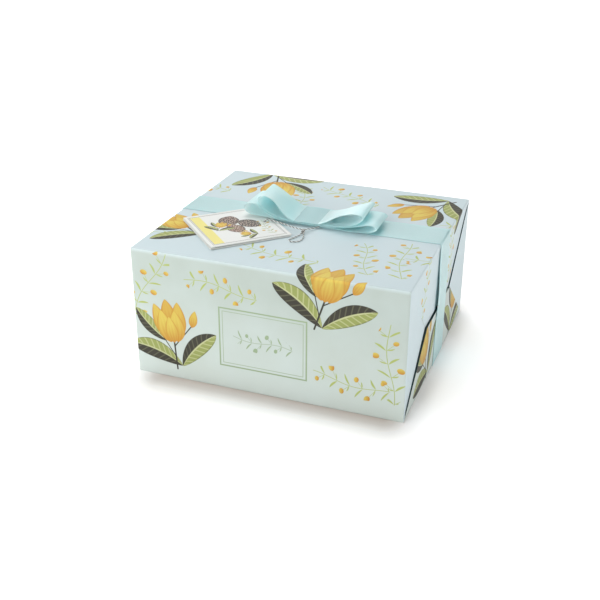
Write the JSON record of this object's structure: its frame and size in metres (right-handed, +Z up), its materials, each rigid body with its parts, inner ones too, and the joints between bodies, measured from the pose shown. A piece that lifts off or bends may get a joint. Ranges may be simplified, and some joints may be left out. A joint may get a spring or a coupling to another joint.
{
  "type": "wrapped gift box",
  "caption": "Shut gift box for a festive cake, wrapped in printed paper, with a satin ribbon round it, a flat double bow and a square leaflet tag on a cord.",
  "frame": {"origin": "middle of the box's underside, where it stands", "axes": "+X along the box's long side and along the ribbon, +Y towards the back, away from the tag, +Z up"},
  "size_m": [0.2712, 0.244, 0.158],
  "materials": {
    "wrapping_paper": "coated pale blue gift paper with a yellow and green flower print",
    "satin_ribbon": "pale aqua double-face satin",
    "tag_card": "off-white coated leaflet paper with a plain printed frame",
    "twisted_cord": "two-ply cord of pale silver and dark thread"
  },
  "bodies": {
    "root": {"wrapped_box": "wrapping_paper", "ribbon_band": "satin_ribbon", "bow_ring_lower": "satin_ribbon", "bow_ring_upper": "satin_ribbon", "tag_leaf_1": "tag_card", "tag_leaf_2": "tag_card", "tag_leaf_3": "tag_card", "tag_leaf_4": "tag_card", "tag_cord": "twisted_cord", "cord_tail": "twisted_cord", "cord_knot": "twisted_cord"}
  },
  "joints": []
}
